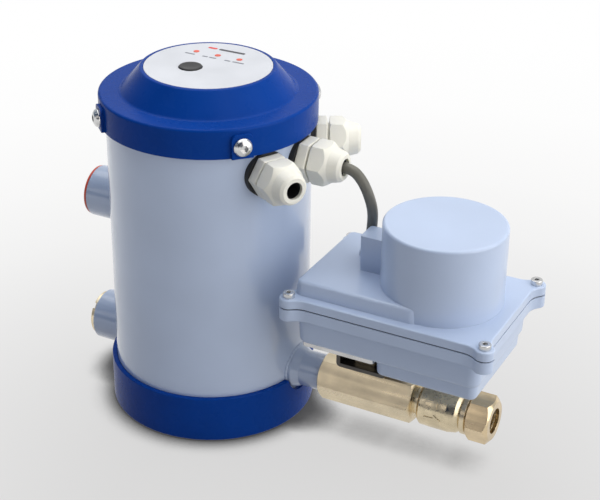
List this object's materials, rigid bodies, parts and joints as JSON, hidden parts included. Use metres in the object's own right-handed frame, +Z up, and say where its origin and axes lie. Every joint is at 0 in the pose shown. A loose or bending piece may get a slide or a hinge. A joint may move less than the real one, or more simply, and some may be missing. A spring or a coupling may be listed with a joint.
{
  "type": "automatic drain valve",
  "caption": "Level-sensing condensate drain: upright round tank with blue end caps and a motor-driven ball valve and check valve on its side outlet.",
  "frame": {"origin": "centre of the base's flat underside, on the tank's axis", "axes": "+Z up along the tank's axis, +X along the outlet line away from the tank, inlet ports face -X"},
  "size_m": [0.2931, 0.1324, 0.2255],
  "materials": {
    "tank_paint": "semi-gloss light blue-grey paint",
    "blue_plastic": "semi-gloss deep blue moulding",
    "housing_plastic": "semi-gloss light blue-grey moulding",
    "label_white": "matte white label",
    "gland_ivory": "ivory polyamide",
    "black_rubber": "black rubber",
    "black_plastic": "black plastic",
    "red_plastic": "orange-red plastic",
    "brass": "pale machined brass",
    "stainless": "plain stainless steel",
    "steel": "zinc-plated steel",
    "ptfe": "white PTFE",
    "acetal": "white acetal",
    "board_green": "green board",
    "cable_grey": "grey-beige cable jacket",
    "aluminium": "plain aluminium",
    "green_terminal": "green terminal block",
    "switch_black": "black switch body"
  },
  "bodies": {
    "housing": {"housing_tube": "tank_paint", "tank_floor": "tank_paint", "partition_plate": "tank_paint", "port_sockets": "tank_paint", "outlet_stub": "tank_paint", "base_cup": "blue_plastic", "top_cap": "blue_plastic", "label_plate": "label_white", "cap_seal": "black_rubber", "cap_screws": "stainless", "status_lamps": "red_plastic", "button_switch": "switch_black", "control_board": "board_green", "board_standoffs": "acetal", "terminal_blocks": "green_terminal", "transformer_and_relays": "switch_black", "level_probe": "stainless", "upper_port_plug": "red_plastic", "lower_port_bushing": "brass", "gland_washers": "black_rubber", "gland_bodies": "gland_ivory", "gland_locknuts": "gland_ivory", "gland_inserts": "black_rubber", "valve_body": "brass", "ball_seats": "ptfe", "seat_retainer": "brass", "bonnet": "brass", "stem_packing": "ptfe", "bonnet_nuts": "brass", "valve_bracket": "stainless", "mounting_plate": "stainless", "limit_switches": "switch_black", "shaft_bushes": "brass", "gear_platform": "aluminium", "hidden_screws": "steel", "actuator_base": "housing_plastic", "actuator_cover": "housing_plastic", "actuator_gasket": "black_rubber", "cover_screws": "stainless", "cable_grommet": "black_rubber", "motor_can": "aluminium", "check_valve_body": "brass", "outlet_adapter": "brass", "poppet_spring": "stainless", "cutting_ring": "brass", "actuator_cable": "cable_grey"},
    "spindle": {"ball": "stainless", "valve_stem": "stainless", "drive_coupling": "steel", "output_shaft": "steel", "sector_gear": "acetal", "limit_cams": "acetal"},
    "motor_rotor": {"motor_rotor": "steel", "motor_pinion": "acetal"},
    "test_button": {"test_button": "black_plastic"},
    "poppet": {"check_poppet": "brass"},
    "outlet_nut": {"outlet_nut": "brass"},
    "gland_nut_front": {"gland_nut_front": "gland_ivory"},
    "gland_nut_middle": {"gland_nut_middle": "gland_ivory"},
    "gland_nut_rear": {"gland_nut_rear": "gland_ivory"}
  },
  "joints": [
    {"name": "valve_turn", "type": "hinge", "parent": "housing", "child": "spindle", "pos_m": [0.11395, 0, 0.0338], "axis": [0, 0, 1], "range_deg": [0, 90]},
    {"name": "motor_turn", "type": "hinge", "parent": "housing", "child": "motor_rotor", "pos_m": [0.15695, 0, 0.09], "axis": [0, 0, 1], "range_deg": [-340.1, 0.1]},
    {"name": "button_press", "type": "slide", "parent": "housing", "child": "test_button", "axis": [0, 0, -1], "range_m": [0, 0.0012], "stiffness_N_per_m": 800, "springref_m": -0.0006},
    {"name": "poppet_lift", "type": "slide", "parent": "housing", "child": "poppet", "axis": [1, 0, 0], "range_m": [0, 0.004], "stiffness_N_per_m": 150, "springref_m": -0.002, "deforming": ["poppet_spring"]},
    {"name": "outlet_nut_turn", "type": "hinge", "parent": "housing", "child": "outlet_nut", "pos_m": [0.188, 0, 0.0338], "axis": [1, 0, 0], "continuous": true},
    {"name": "gland_nut_front_turn", "type": "hinge", "parent": "housing", "child": "gland_nut_front", "pos_m": [0.05518, -0.02934, 0.178], "axis": [0.8829, -0.4695, 0], "continuous": true},
    {"name": "gland_nut_middle_turn", "type": "hinge", "parent": "housing", "child": "gland_nut_middle", "pos_m": [0.0625, 0, 0.178], "axis": [1, 0, 0], "continuous": true},
    {"name": "gland_nut_rear_turn", "type": "hinge", "parent": "housing", "child": "gland_nut_rear", "pos_m": [0.05518, 0.02934, 0.178], "axis": [0.8829, 0.4695, 0], "continuous": true}
  ],
  "couplings": [
    {"joint": "motor_turn", "follows": "valve_turn", "ratio": -3.7778}
  ]
}
